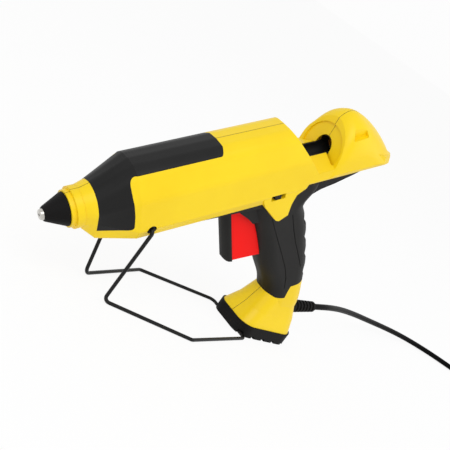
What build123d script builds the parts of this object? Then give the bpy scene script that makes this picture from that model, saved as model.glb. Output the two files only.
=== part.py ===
from build123d import *
import os
from math import atan2, cos, degrees, hypot, pi, radians, sin, tan

# Hot-melt glue gun on its wire stand. The gun is drawn in its own frame: x runs from the nozzle
# tip to the rear along the barrel, y to the right-hand side, z up. It is then tipped nose-down
# on to the table, where the sole and the stand touch z = 0.

# Stance on the table
TILT = 32.8
TIP_HEIGHT = 49.6

# Barrel housing section and stations along the barrel
BODY_TOP = 33.5
BODY_BOTTOM = -28.0
BODY_HALF = 27.0
ROOF_HALF = 10.0
ROOF_DROP = 1.0
SHOULDER_Y = 18.5
SHOULDER_Z = 28.5
CREASE_Z = 9.0
HIP_Z = -18.5
KEEL_HALF = 22.5
BEZEL_FRONT = 30.0
COVER_FRONT = 39.3
FLAP_ROUND = 3.0
COVER_CORNER = 6.0
NOSE_BACK = 70.0
BEZEL_R = 16.5
NOSE_R = 19.2
NOSE_BOTTOM = -25.0
SECTION_ROUND = 3.0
ROOF_ROUND = 12.0
WALL = 2.6
FRONT_WALL = 4.6
FRONT_WALL_END = 152.0

# Rear of the housing: slanted edge, stick tray and hood
REAR_TOP_X = 212.0
REAR_LOW_X = 237.0
TRAY_EDGE_Z = -6.0
TRAY_HALF = 9.7
TRAY_Z = 0.5
REAR_BOTTOM = -19.0
REAR_BOTTOM_X = 226.0
HOOD_FACE_X = 257.0
HOOD_LEAN = 0.53
HOOD_TOP = 34.0
HOOD_HALF = 28.5
HOOD_PEAK_X = 281.0
HOOD_END = 332.0
HOOD_DISH_R = 23.0
# The rounded lower edge of the housing's rear, from its flat underside up to its side
LOWER_EDGE = [
    (HOOD_HALF - 7.5, REAR_BOTTOM),
    (HOOD_HALF - 2.5, REAR_BOTTOM + 3.0),
    (HOOD_HALF + 2.0, REAR_BOTTOM + 11.0),
]
HOOD_DISH_DEPTH = 1.4
# Each section of the hood: how far behind the face, its lean, its crown's height and its half width
HOOD_SECTIONS = [
    (0.0, HOOD_LEAN, 26.6, HOOD_HALF - 1.7),
    (7.0, HOOD_LEAN, 30.8, HOOD_HALF - 0.2),
    (24.0, 0.2, 30.0, HOOD_HALF),
    (40.0, 0.0, 23.8, HOOD_HALF),
    (52.0, 0.0, 13.0, HOOD_HALF),
    (61.0, 0.0, 2.5, HOOD_HALF),
    (68.0, 0.0, -9.0, HOOD_HALF),
    (74.0, 0.0, -22.0, HOOD_HALF),
]
# The arch of a section: share of the half width, and the drop from the crown there
HOOD_ARCH = [(0.36, 3.0), (0.68, 9.5), (0.92, 21.0), (1.0, 32.0)]
SKIRT_START = 46.0
SKIRT_TOP = -2.5
SKIRT_FALL = 0.5
SKIRT_HALF = 27.0
NOTCH_LOW = 15.5
NOTCH_HIGH = 23.0
NOTCH_Y = 18.0
NOTCH_END = 289.0
NOTCH_RIM = 7.0
STICK_R = 5.75
STICK_HOLE_R = 9.2
STICK_INLET_R = 7.5
GUIDE_WALL = 1.6
GUIDE_IN = 15.0
GUIDE_RING = 8.0

# Top cover
COVER_T = 1.9
COVER_BACK = 147.0
FLAP_BACK = 66.0
FLAP_BOTTOM = -15.5
COVER_EDGE_Z = 28.0

# Nozzle, jacket and collar
TIP_R = 4.1
TIP_BORE_R = 1.1
NOZZLE_LENGTH = 20.0
NOZZLE_BASE_R = 9.0
SHANK_R = 6.0
SHANK_END = 40.0
VALVE_BORE_R = 2.6
BALL_R = 2.3
JACKET_START = 2.6
JACKET_TIP_R = 6.0
JACKET_R = 13.2
COLLAR_R = 14.6
COLLAR_STEP = 4.0

# Melt chamber and what is round it
CHAMBER_FRONT = 30.5
CHAMBER_END = 112.0
CHAMBER_R = 9.6
HEATER_LENGTH = 42.0
HEATER_WIDTH = 6.0
HEATER_T = 2.8
HEATER_START = 58.0
SLEEVE_IN_R = 13.2
SLEEVE_OUT_R = 14.2
INLET_R = 8.6
INLET_LENGTH = 20.0
CLAMP_R = 10.0
CLAMP_LENGTH = 5.0
BULKHEAD_T = 3.0
BULKHEAD_HALF = 11.5

# Feed carriage and its rails
CARRIAGE_FRONT = 197.0
CARRIAGE_LENGTH = 24.0
CARRIAGE_R = 10.2
CARRIAGE_BORE_R = 6.7
TAB_HALF_T = 2.5
RAIL_T = 1.6
RAIL_START = 172.0
RAIL_IN = 12.5
SLIDE_GAP = 0.3

# Trigger, lever and return spring
LEVER_SWING = 24.0
PIVOT_X = 208.5
PIVOT_Z = -37.0
LEVER_LOW_ARM = 35.8
LEVER_TOP_ARM = 22.0
LEVER_HALF_T = 2.5
LEVER_PIN_R = 2.5
HUB_R = 5.5
DRIVE_PIN_R = 2.0
PIN_GAP = 0.4
RUNNING_GAP = 0.06
TRIGGER_FRONT = 165.0
TRIGGER_LEAN = 0.158
TRIGGER_TOP = -30.0
TRIGGER_LOW = -98.5
PAD_T = 7.0
PAD_HALF = 8.0
PAD_ROUND = 7.5
PAD_TOE_ROUND = 6.0
RED_HALF = 7.2
RED_BACK = 206.0
# The red's upper back edge: how far behind and below its top corner
RED_SHOULDER = [(7.0, 3.0), (13.5, 16.0), (23.3, 25.0), (28.0, 31.0)]
CHEEK_HALF = 12.5
CHEEK_AHEAD = 5.2
CHEEK_UP = 5.7
SPRING_R = 4.2
SPRING_Z = -90.0
SPRING_END = 240.0
SPRING_SEAT_T = 3.0

# Handle: grip sections from the top down, as height, front, back and half width
HANDLE_SECTIONS = [
    (-22.0, 185.0, 248.0, 19.5),
    (-45.0, 188.0, 243.8, 18.8),
    (-56.0, 191.2, 245.0, 18.0),
    (-66.0, 194.5, 249.4, 17.4),
    (-92.0, 202.0, 255.8, 16.8),
    (-115.0, 208.5, 260.3, 17.0),
    (-135.0, 216.5, 261.5, 17.4),
    (-150.0, 219.5, 261.6, 17.8),
    (-168.0, 219.5, 261.2, 17.8),
    (-186.0, 221.0, 254.0, 16.0),
]
HANDLE_ROUND = 15.0
GRIP_T = 2.6
TAIL_HALF = 12.0
BACKSTRAP_HALF = 8.0
SCALLOPS = 4
SCALLOP_FIRST_Z = -66.0
SCALLOP_PITCH = 21.0
SCALLOP_R = 9.0
SCALLOP_REACH = 7.0
SCALLOP_DEPTH = 1.6
SEAM_WIDTH = 0.9
SEAM_DEPTH = 0.6
FRONT_SEAM = [
    (203.0, -50.0), (213.3, -74.8), (221.7, -94.7), (229.7, -115.2), (233.0, -129.0), (233.4, -142.0),
]
BACK_SEAM = [(225.0, -52.0), (231.1, -72.5), (236.3, -88.4), (243.5, -107.0), (248.0, -120.0)]
GUARD_FRONT = 130.0
GUARD_T = 4.6
GUARD_LAP = 4.0

# Boot and sole, in the table's frame
SOLE_FRONT = 249.5
SOLE_BACK = 327.0
SOLE_HALF = 25.0
SOLE_HEIGHT = 12.0
SOLE_FRONT_ROUND = 14.0
SOLE_BACK_ROUND = 19.0
SOLE_LIP = 1.0
BOOT_WAIST = 26.0
BOOT_WAIST_FRONT = 259.0
BOOT_WAIST_BACK = 323.5
BOOT_WAIST_HALF = 20.0
BOOT_TOP = 46.0
BOOT_TOP_FRONT = 266.0
BOOT_TOP_BACK = 311.0
BOOT_TOP_HALF = 16.4
TREAD_WIDTH = 4.0
TREAD_DEPTH = 2.5
TREAD_COUNT = 4

# Wire stand
WIRE_R = 1.6
WIRE_BEND_R = 6.0
WIRE_HOOK_R = 3.0
WIRE_STANDOFF = 1.9
STAND_X = 81.0
STAND_Z = -19.5
WIRE_GAP = 0.6
WIRE_END_IN = 9.0
BUSH_R = 4.0
TOE_S = 86.0
TOE_Y = 18.0
KNEE_S = 168.3
KNEE_Y = 49.6
BAR_S = 254.1
BAR_Y = 29.0

# Temperature switch
SWITCH_X = 199.0
SWITCH_Z = -20.5
SLOT_LENGTH = 14.0
SLOT_HEIGHT = 5.2
KNOB_LENGTH = 6.0
KNOB_PROUD = 0.2
SWITCH_HALF_L = 12.0
SWITCH_FACE_Y = -18.2
SWITCH_BACK_Y = -10.5

# Screws through the right-hand shell, as x, z and the seat of the head
SCREW_PLACES = [(125.0, 24.0, 12.0), (140.0, -21.0, 15.0), (62.0, -20.0, 11.0), (246.0, -13.5, 16.0),
                (300.0, -12.0, 16.0), (225.0, -119.0, 8.0), (228.0, -158.0, 12.0)]
SCREW_R = 1.5
SCREW_HEAD_R = 3.0
SCREW_HEAD_T = 2.2
SCREW_GRIP = 8.0
BOSS_R = 3.8

# Mains lead, in the table's frame
CORD_D = 6.3
CORD_EXIT_S = 331.0
CORD_EXIT_Z = 33.6
CORD_RISE = 9.5
RELIEF_LENGTH = 25.0
RELIEF_BACK = 8.0
RELIEF_R = 6.6
RELIEF_TIP_R = 5.3
RELIEF_RIBS = 7
FLANGE_R = 8.6
FLANGE_T = 2.4
FLANGE_IN = 20.0
CORD_STRAIGHT = 38.0
CORD_ROUTE = [
    (404.0, 11.0, 36.8), (445.0, 25.5, 30.5), (490.0, 37.5, 23.5), (540.0, 46.5, 16.0), (590.0, 51.5, 10.0),
    (632.0, 48.5, 6.3), (664.0, 36.5, 4.5), (690.0, 17.0, 4.1),
]
COIL_LEAD_IN = 35.0
COIL_TURNS = 3
COIL_R = 48.0
COIL_STEP = 7.8
COIL_S = 776.2
COIL_Y = -17.4
COIL_HEADING = -58.0
TIE_T = 0.5
TIE_WIDTH = 9.0
TIE_GAP = 0.3
TAIL_R = 70.0
TAIL_TURN = 75.0
LEAD_R = 1.0
PLUG_LENGTH = 36.0
PLUG_WIDTH = 27.0
PLUG_NECK = 11.0
PLUG_GAP = 0.05
PIN_R = 2.0
PIN_LENGTH = 19.0
PIN_PITCH = 18.6

FAR = 400.0
nodes = {}


# Shape helpers
def outline(points, radius=0.0):
    # A closed outline; radius rounds all its corners, or is a list with one value for each corner
    shape = make_face(Polyline(*points, close=True))
    if not isinstance(radius, list):
        return fillet(shape.vertices(), radius) if radius else shape
    for corner, size in zip(points, radius):
        if size:
            shape = fillet(shape.vertices().sort_by_distance((*corner, 0.0))[0], size)
    return shape


def prism_x(points, start, end, radius=0.0):
    return extrude(Plane.YZ.offset(start) * outline(points, radius), end - start)


def prism_y(points, half, radius=0.0):
    return extrude(Plane.XZ * outline(points, radius), half, both=True)


def rod_x(radius, start, end, y=0.0, z=0.0):
    return extrude(Plane.YZ.offset(start) * Pos(y, z) * Circle(radius), end - start)


def rod_y(radius, x, z, start, end):
    base = Plane(origin=(x, start, z), x_dir=(1, 0, 0), z_dir=(0, 1, 0))
    return extrude(base * Circle(radius), end - start)


def block(x0, x1, y0, y1, z0, z1):
    return Pos((x0 + x1) / 2, (y0 + y1) / 2, (z0 + z1) / 2) * Box(x1 - x0, y1 - y0, z1 - z0)


def turned(points):
    return revolve(outline(points), Axis.X)


def inset(points, depth):
    # The same outline with every side moved inwards by depth
    count = len(points)
    area = sum(points[i - 1][0] * points[i][1] - points[i][0] * points[i - 1][1] for i in range(count))
    side = 1.0 if area > 0 else -1.0
    moved = []
    for i in range(count):
        lines = []
        for (ax, ay), (bx, by) in ((points[i - 1], points[i]), (points[i], points[(i + 1) % count])):
            length = hypot(bx - ax, by - ay)
            nx = -(by - ay) / length * side
            ny = (bx - ax) / length * side
            lines.append((nx, ny, nx * ax + ny * ay + depth))
        (a, b, c), (d, e, f) = lines
        det = a * e - b * d
        moved.append(((c * e - b * f) / det, (a * f - c * d) / det))
    return moved


def mirrored(half):
    # A closed outline from its right-hand half, whose first point is on the mid-line
    return half + [(-y, z) for y, z in reversed(half[1:])]


# Between the gun's frame and the table's frame
TO_TABLE = Pos(0, 0, TIP_HEIGHT) * Rot(0, -TILT, 0)
TO_GUN = TO_TABLE.inverse()


# Housing forms
MAIN_SECTION = mirrored([
    (0, BODY_TOP),
    (ROOF_HALF, BODY_TOP - ROOF_DROP),
    (SHOULDER_Y, SHOULDER_Z),
    (BODY_HALF, CREASE_Z),
    (BODY_HALF, HIP_Z),
    (KEEL_HALF, BODY_BOTTOM),
])


# Roundings of a section's corners, wide over the roof and shoulders and small below
SECTION_ROUNDS = [ROOF_ROUND] * 4 + [SECTION_ROUND] * 4 + [ROOF_ROUND] * 3


def nose_section(radius, keel_half, bottom):
    turns = [radians(a) for a in (28, 54, 84, 118)]
    round_part = [(radius * sin(a), radius * cos(a)) for a in turns]
    return mirrored([(0, radius)] + round_part + [(keel_half, bottom)])


BEZEL_SECTION = nose_section(BEZEL_R, BEZEL_R * 0.55, -BEZEL_R * 0.95)
FRONT_SECTION = nose_section(NOSE_R, NOSE_R * 0.7, NOSE_BOTTOM)


def section_face(points, station, depth, radius):
    shape = outline(inset(points, depth) if depth else points, radius)
    return Plane.YZ.offset(station) * shape


def barrel(depth=0.0, radius=0.0):
    # The housing from the bezel to under the hood, before the tray is cut
    step = loft([section_face(BEZEL_SECTION, BEZEL_FRONT, depth, radius),
                 section_face(FRONT_SECTION, COVER_FRONT, depth, radius)], ruled=True)
    nose = loft([section_face(FRONT_SECTION, COVER_FRONT, depth, radius),
                 section_face(MAIN_SECTION, NOSE_BACK, depth, radius)], ruled=True)
    main = extrude(section_face(MAIN_SECTION, NOSE_BACK, depth, radius), HOOD_PEAK_X - NOSE_BACK)
    return step + nose + main


def tray_cut(depth=0.0):
    # What is missing behind the slanted rear edge, above the tray
    slant = (REAR_LOW_X - REAR_TOP_X) / (BODY_TOP - TRAY_EDGE_Z)
    low = TRAY_EDGE_Z - 20.0
    high = BODY_TOP + 20.0
    back = HOOD_PEAK_X + 60.0
    side = prism_y([
        (REAR_TOP_X - (high - BODY_TOP) * slant - depth, high),
        (REAR_LOW_X + (TRAY_EDGE_Z - low) * slant - depth, low),
        (back, low),
        (back, high),
    ], FAR / 4)
    fall = (TRAY_Z - TRAY_EDGE_Z) / (BODY_HALF - TRAY_HALF)
    reach = BODY_HALF + 20.0
    roof = prism_x(mirrored([
        (0, TRAY_Z - depth),
        (TRAY_HALF, TRAY_Z - depth),
        (reach, TRAY_Z - depth - fall * (reach - TRAY_HALF)),
        (reach, high),
    ]), REAR_TOP_X - 40.0, back)
    return side & roof


def hood_section(behind, lean, top, half):
    # An arched section of the hood, on a plane that leans back
    slope = hypot(1.0, lean)
    arch = [(0, top * slope)] + [(half * share, (top - drop) * slope) for share, drop in HOOD_ARCH]
    left = [(-y, z) for y, z in reversed(arch)]
    low = -FAR / 6
    edge = Spline(*left[:-1], *arch, tangents=[(0, 1), (0, -1)])
    edge = edge + Polyline(arch[-1], (half, low), (-half, low), left[0])
    plane = Plane(origin=(HOOD_FACE_X + behind, 0, 0), x_dir=(0, 1, 0), z_dir=(1 / slope, 0, -lean / slope))
    return plane * make_face(edge)


def hood_foot(depth=0.0):
    # The hood's outline from above and its rounded lower edges, for the dome and its skirt
    plan = inset(mirrored([
        (0, HOOD_END),
        (HOOD_HALF * 0.45, HOOD_END - 2.5),
        (HOOD_HALF * 0.8, HOOD_END - 12.0),
        (HOOD_HALF + 1.5, HOOD_END - 28.0),
        (HOOD_HALF + 1.5, HOOD_FACE_X - 25.0),
    ]), depth)
    above = Pos(0, 0, -FAR / 4) * extrude(outline([(x, y) for y, x in plan], 2.5), FAR / 2)
    section = mirrored([
        (0, HOOD_TOP + 8.0),
        (LOWER_EDGE[-1][0], HOOD_TOP + 5.0),
        *reversed(LOWER_EDGE),
    ])
    return above & prism_x(inset(section, depth), HOOD_FACE_X - 30.0, HOOD_END + 5.0)


def hood(depth=0.0):
    # The hood behind the tray: a dome through leaning sections
    fall = depth * 1.4
    dome = loft([hood_section(x, lean, top - fall, half - depth) for x, lean, top, half in HOOD_SECTIONS])
    dome = dome & hood_foot(depth)
    if not depth:
        return dome
    front = HOOD_FACE_X + depth * hypot(1.0, HOOD_LEAN)
    return dome & prism_y([
        (front + REAR_BOTTOM * HOOD_LEAN, REAR_BOTTOM), (front + HOOD_TOP * HOOD_LEAN, HOOD_TOP),
        (HOOD_END, HOOD_TOP), (HOOD_END, REAR_BOTTOM),
    ], FAR / 4)


def rear_trim(depth=0.0):
    # What the lower edge takes off the barrel ahead of the hood; depth keeps the wall behind it
    edge = [(y - depth, z + depth * 0.6) for y, z in LOWER_EDGE]
    wedge = prism_x([
        (edge[0][0], REAR_BOTTOM - 5.0), *edge, (FAR / 8, edge[-1][1]), (FAR / 8, REAR_BOTTOM - 5.0),
    ], REAR_BOTTOM_X, HOOD_END)
    return wedge + mirror(wedge, about=Plane.XZ)


def skirt():
    # The low rim round the back of the hood
    start = HOOD_FACE_X + SKIRT_START
    band = prism_y([
        (start, SKIRT_TOP), (HOOD_END, SKIRT_TOP - SKIRT_FALL * (HOOD_END - start)),
        (HOOD_END, REAR_BOTTOM), (start, REAR_BOTTOM),
    ], SKIRT_HALF)
    return band & hood_foot()


def notches(depth=0.0):
    # Ledge cut into each side of the hood; depth makes it larger, for the wall behind it
    low = NOTCH_LOW - depth
    high = NOTCH_HIGH + depth
    front = HOOD_FACE_X + NOTCH_RIM - depth
    cut = prism_y([
        (front + low * HOOD_LEAN, low), (NOTCH_END + depth, low), (NOTCH_END + depth, high),
        (front + high * HOOD_LEAN, high),
    ], HOOD_HALF + 5.0)
    return cut - block(-FAR, FAR, depth - NOTCH_Y, NOTCH_Y - depth, -FAR, FAR)


def handle(depth=0.0):
    faces = []
    for z, front, back, half in HANDLE_SECTIONS:
        shape = RectangleRounded(back - front - 2 * depth, 2 * (half - depth), HANDLE_ROUND - depth)
        faces.append(Plane.XY.offset(z) * Pos((front + back) / 2, 0) * shape)
    return loft(faces)


def foot_shape(front, back, half, depth=0.0):
    # Plan of the foot, rounder at the heel than at the toe
    shape = Pos((front + back) / 2, 0) * Rectangle(back - front, 2 * half)
    corners = shape.vertices().sort_by(Axis.X)
    heel_round = min(SOLE_BACK_ROUND - depth, half - 0.5)
    toe_round = min(SOLE_FRONT_ROUND - depth, half - 0.5)
    shape = fillet(corners[2:], heel_round)
    return fillet(shape.vertices().sort_by(Axis.X)[:2], toe_round)


def boot(depth=0.0):
    # The flared foot, between the handle and the sole
    low = SOLE_HEIGHT - (1.0 if depth else 0.0)
    faces = []
    for height, front, back, half in (
        (low, SOLE_FRONT + SOLE_LIP, SOLE_BACK - SOLE_LIP, SOLE_HALF - SOLE_LIP),
        (BOOT_WAIST, BOOT_WAIST_FRONT, BOOT_WAIST_BACK, BOOT_WAIST_HALF),
        (BOOT_TOP, BOOT_TOP_FRONT, BOOT_TOP_BACK, BOOT_TOP_HALF),
    ):
        faces.append(Plane.XY.offset(height) * foot_shape(front + depth, back - depth, half - depth, depth))
    return TO_GUN * loft(faces, ruled=True)


# The line between the grip and the yellow boot, in the table's frame
GRIP_LINE = [(120.0, 42.0), (258.0, 42.5), (273.0, 44.0), (282.0, 47.5), (280.5, 54.0), (279.5, 60.5),
             (292.5, 69.0), (360.0, 66.0)]
below_line = TO_GUN * prism_y(GRIP_LINE + [(360.0, -40.0), (120.0, -40.0)], FAR / 4)
above_line = TO_GUN * prism_y(GRIP_LINE + [(360.0, 400.0), (120.0, 400.0)], FAR / 4)

# Beavertail under the rear of the housing
TAIL = [
    (234.0, REAR_BOTTOM), (322.0, REAR_BOTTOM), (319.0, REAR_BOTTOM - 3.5), (292.0, REAR_BOTTOM - 11.5),
    (272.0, REAR_BOTTOM - 16.0), (257.0, REAR_BOTTOM - 18.3), (248.7, REAR_BOTTOM - 21.2),
    (243.4, REAR_BOTTOM - 25.5), (240.8, REAR_BOTTOM - 31.0), (239.6, REAR_BOTTOM - 37.0),
    (234.0, REAR_BOTTOM - 37.0),
]

# Side tabs that reach down over the handle
SIDE_TAB = [
    (184.0, BODY_BOTTOM + 8.0), (187.0, BODY_BOTTOM), (200.5, -45.5), (204.0, -47.0), (212.5, -43.0),
    (214.5, -32.0), (218.5, -23.0), (227.0, REAR_BOTTOM), (232.0, REAR_BOTTOM + 8.0),
]

outer_handle = handle()
tail = prism_y(TAIL, TAIL_HALF, 1.5)
tabs = prism_y(SIDE_TAB, BODY_HALF - 0.4) - prism_y(SIDE_TAB, HANDLE_SECTIONS[0][3] + SLIDE_GAP)
rear_relief = prism_y([
    (REAR_BOTTOM_X, REAR_BOTTOM), (REAR_BOTTOM_X - 8.0, BODY_BOTTOM - 5.0), (FAR, BODY_BOTTOM - 5.0),
    (FAR, REAR_BOTTOM),
], FAR / 4)
body_outer = barrel(0.0, SECTION_ROUNDS) - tray_cut() - rear_relief - rear_trim()
body_outer = body_outer + (hood() + skirt() - notches())
core = handle(GRIP_T)
foot_form = boot()
yellow = body_outer + tabs + core + (outer_handle & below_line) + foot_form

# Cavities
front_room = barrel(FRONT_WALL) & block(BEZEL_FRONT + 4.0, FRONT_WALL_END, -FAR, FAR, -FAR, FAR)
rear_room = barrel(WALL) & block(FRONT_WALL_END - 1.0, HOOD_FACE_X - 8.0, -FAR, FAR, -FAR, FAR)
lift = Pos(0, 0, WALL)
rear_room = rear_room - tray_cut(WALL) - lift * rear_relief - rear_trim(WALL)
hood_room = hood(WALL) - notches(WALL)
grip_room = handle(GRIP_T + WALL)
boot_room = boot(WALL)
room = front_room + rear_room + hood_room + grip_room + boot_room

# Inner walls that carry the chamber, the carriage and the spring
chest = front_room + rear_room
walls = []
for station, bore in ((CHAMBER_FRONT + 14.0, CHAMBER_R), (CHAMBER_END - 5.0, CHAMBER_R),
                      (CHAMBER_END + INLET_LENGTH - 4.0, INLET_R)):
    plate = block(station, station + BULKHEAD_T, -BULKHEAD_HALF, BULKHEAD_HALF, -FAR / 4, FAR / 4) & chest
    walls.append(plate - rod_x(bore, station - 1.0, station + BULKHEAD_T + 1.0))
rail_end = CARRIAGE_FRONT + CARRIAGE_LENGTH + 3.0
rail_low = TAB_HALF_T + SLIDE_GAP
for side in (-1, 1):
    for level in (rail_low, -rail_low - RAIL_T):
        edges = sorted((side * RAIL_IN, side * (BODY_HALF - 1.0)))
        walls.append(block(RAIL_START, rail_end, *edges, level, level + RAIL_T) & rear_room)
seat = block(SPRING_END, SPRING_END + SPRING_SEAT_T, -FAR, FAR, SPRING_Z - 12.0, SPRING_Z + 9.0)
walls.append(seat & grip_room)
for wall in walls:
    room = room - wall
for x, z, head in SCREW_PLACES:
    room = room - rod_y(BOSS_R, x, z, -FAR / 4, FAR / 4)
room = room - rod_y(HUB_R, PIVOT_X, PIVOT_Z, -FAR / 4, FAR / 4)
for edge in (-1, 1):
    post = sorted((edge * (SWITCH_HALF_L + 2.0), edge * SWITCH_HALF_L))
    ends = (SWITCH_X + post[0], SWITCH_X + post[1])
    room = room - block(*ends, -BODY_HALF, SWITCH_BACK_Y, SWITCH_Z - 4.5, SWITCH_Z + 4.0)
bush_boss = rod_y(BUSH_R + 2.0, STAND_X, STAND_Z, BODY_HALF - 12.0, FAR / 4)
bush_boss = bush_boss + mirror(bush_boss, about=Plane.XZ)
room = room - bush_boss

shell = yellow - room

# Openings in the shells
shell = shell - rod_x(STICK_HOLE_R, HOOD_FACE_X - 30.0, HOOD_PEAK_X)
shell = shell - rod_x(STICK_INLET_R, HOOD_PEAK_X - 5.0, HOOD_END + 10.0)
guide_start = CARRIAGE_FRONT + CARRIAGE_LENGTH + 3.0
guide_end = HOOD_FACE_X + GUIDE_IN
shell = shell - rod_x(TRAY_HALF, guide_start, guide_end)
slot_top = block(REAR_TOP_X - 6.0, HOOD_FACE_X + 1.0, -TRAY_HALF, TRAY_HALF, -STICK_R, BODY_TOP * 0.45)
slot_top = slot_top & (barrel(0.0) & tray_cut(WALL + 0.5))
shell = shell - slot_top
shell = shell - rod_x(CHAMBER_R + 0.4, BEZEL_FRONT - 5.0, CHAMBER_FRONT + 8.0)
mouth_half = RED_HALF + SLIDE_GAP
mouth_front = TRIGGER_FRONT - PAD_T
mouth = block(mouth_front, PIVOT_X + 14.0, -mouth_half, mouth_half, TRIGGER_LOW - SLIDE_GAP, PIVOT_Z + 10.0)
shell = shell - mouth
neck = block(PIVOT_X - 22.0, PIVOT_X + 24.0, -BULKHEAD_HALF, BULKHEAD_HALF, PIVOT_Z, BODY_BOTTOM + 8.0)
for side in (-1, 1):
    neck = neck - rod_y(HUB_R, PIVOT_X, PIVOT_Z, *sorted((side * FAR, side * mouth_half)))
shell = shell - neck
slot_x0 = SWITCH_X - SLOT_LENGTH / 2
slot_x1 = SWITCH_X + SLOT_LENGTH / 2
slot_z0 = SWITCH_Z - SLOT_HEIGHT / 2
slot_z1 = SWITCH_Z + SLOT_HEIGHT / 2
shell = shell - block(slot_x0, slot_x1, -BODY_HALF - 1.0, -BODY_HALF + 9.0, slot_z0, slot_z1)

# Recess round the stick hole on the hood's face
lean = degrees(atan2(HOOD_LEAN, 1.0))
face_normal = (-cos(radians(lean)), 0, sin(radians(lean)))
face_plane = Plane(origin=(HOOD_FACE_X, 0, 0), x_dir=(0, 1, 0), z_dir=face_normal)
dish = extrude(face_plane * Circle(HOOD_DISH_R), HOOD_DISH_DEPTH, both=True)
shell = shell - (dish & block(0.0, FAR, -FAR, FAR, TRAY_EDGE_Z, FAR))

# Hole for the strain relief
AT_EXIT = Pos(CORD_EXIT_S, 0, CORD_EXIT_Z) * Rot(0, -CORD_RISE, 0)
shell = shell - TO_GUN * AT_EXIT * rod_x(RELIEF_R, FLANGE_T - FLANGE_IN, RELIEF_LENGTH)

# Stand pivots
for side in (-1, 1):
    reach = sorted((side * (BODY_HALF - WIRE_END_IN - 1.5), side * (BODY_HALF + 5.0)))
    shell = shell - rod_y(BUSH_R, STAND_X, STAND_Z, *reach)

# Top cover, let into the housing
cover_outline = [
    (COVER_FRONT, FLAP_BOTTOM), (FLAP_BACK, FLAP_BOTTOM), (FLAP_BACK, -3.0), (FLAP_BACK - 1.6, 12.0),
    (FLAP_BACK - 2.6, COVER_EDGE_Z), (COVER_BACK - 3.5, COVER_EDGE_Z), (COVER_BACK, BODY_TOP - 1.5),
    (COVER_BACK, BODY_TOP + 5.0), (COVER_FRONT, BODY_TOP + 5.0),
]
cover_region = prism_y(cover_outline, FAR / 4, [0, FLAP_ROUND, 0, 0, COVER_CORNER, FLAP_ROUND, 0, 0, 0])
skin = barrel(0.0, SECTION_ROUNDS)
plan_front = COVER_FRONT - 40.0
cover_plan = RectangleRounded(COVER_BACK - plan_front, 2 * SHOULDER_Y + 2.0, 9.0)
cover_plan = extrude(Pos((plan_front + COVER_BACK) / 2, 0) * cover_plan, FAR / 8)
reach = FAR / 8
cover_plan = cover_plan + block(COVER_FRONT - 1.0, FLAP_BACK + 6.0, -reach, reach, -reach, reach)
cover = (skin - barrel(COVER_T)) & cover_region & cover_plan
shell = shell - cover
nodes["top_cover"] = cover

# Screws
screws = []
for x, z, head in SCREW_PLACES:
    shell = shell - rod_y(SCREW_R + 0.1, x, z, -SCREW_GRIP, head)
    shell = shell - rod_y(SCREW_HEAD_R + 0.3, x, z, head, FAR / 4)
    screw = rod_y(SCREW_R, x, z, -SCREW_GRIP + 0.5, head)
    screw = screw + rod_y(SCREW_HEAD_R, x, z, head, head + SCREW_HEAD_T)
    cross = block(x - 1.8, x + 1.8, head + 1.0, head + 5.0, z - 0.4, z + 0.4)
    cross = cross + block(x - 0.4, x + 0.4, head + 1.0, head + 5.0, z - 1.8, z + 1.8)
    screws.append(screw - cross)
nodes["shell_screws"] = Compound(children=[s.solid() for s in screws])

# Lever pin runs through both bosses
pin_half = HANDLE_SECTIONS[1][3] - GRIP_T - 1.0
shell = shell - rod_y(LEVER_PIN_R, PIVOT_X, PIVOT_Z, -pin_half, pin_half)
nodes["lever_pin"] = rod_y(LEVER_PIN_R, PIVOT_X, PIVOT_Z, -pin_half, pin_half)

nodes["shell_left"] = shell & block(-10.0, FAR, -FAR, 0.0, -FAR, FAR)
nodes["shell_right"] = shell & block(-10.0, FAR, 0.0, FAR, -FAR, FAR)

# Grips, backstrap and tail round the handle, with a black strip under the barrel ahead of them
def handle_back(z):
    for (high, _, back_high, _), (low, _, back_low, _) in zip(HANDLE_SECTIONS, HANDLE_SECTIONS[1:]):
        if low <= z:
            break
    return back_high + (back_low - back_high) * (high - z) / (high - low)


def seam_groove(line):
    strip = [(x - SEAM_WIDTH / 2, z) for x, z in line] + [(x + SEAM_WIDTH / 2, z) for x, z in reversed(line)]
    return prism_y(strip, FAR / 8) - handle(SEAM_DEPTH)


guard_back = HANDLE_SECTIONS[1][1] + GUARD_LAP
guard = prism_y([
    (GUARD_FRONT, BODY_BOTTOM + 6.0), (guard_back, BODY_BOTTOM + 6.0), (guard_back, BODY_BOTTOM - GUARD_T),
    (GUARD_FRONT + 32.0, BODY_BOTTOM - GUARD_T / 2), (GUARD_FRONT, BODY_BOTTOM - 0.3),
], KEEL_HALF - 1.0)
cheek_top = TRIGGER_TOP + CHEEK_UP
cheek_front = TRIGGER_FRONT - CHEEK_AHEAD
cheek_line = [(cheek_front + back, cheek_top - down) for back, down in RED_SHOULDER]
cheek_line = [(cheek_line[0][0], BODY_BOTTOM + 6.0)] + cheek_line
cheek_line = cheek_line + [(guard_back + 6.0, cheek_line[-1][1]), (guard_back + 6.0, BODY_BOTTOM + 6.0)]
guard = guard + prism_y(cheek_line, CHEEK_HALF)
pad_room = PAD_HALF + SLIDE_GAP
guard = guard - block(mouth_front - 1.0, FAR, -pad_room, pad_room, -FAR, FAR)
sleeve = (outer_handle & above_line) + guard - core - body_outer - tabs - foot_form
sleeve = sleeve - block(mouth_front, PIVOT_X + 14.0, -mouth_half, mouth_half, TRIGGER_LOW - SLIDE_GAP, 0.0)
scallop_floor = handle(SCALLOP_DEPTH)
for i in range(SCALLOPS):
    z = SCALLOP_FIRST_Z - i * SCALLOP_PITCH
    scallop = rod_y(SCALLOP_R, handle_back(z) + SCALLOP_R - SCALLOP_REACH, z, -FAR / 8, FAR / 8)
    sleeve = sleeve - (scallop - scallop_floor)
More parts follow.
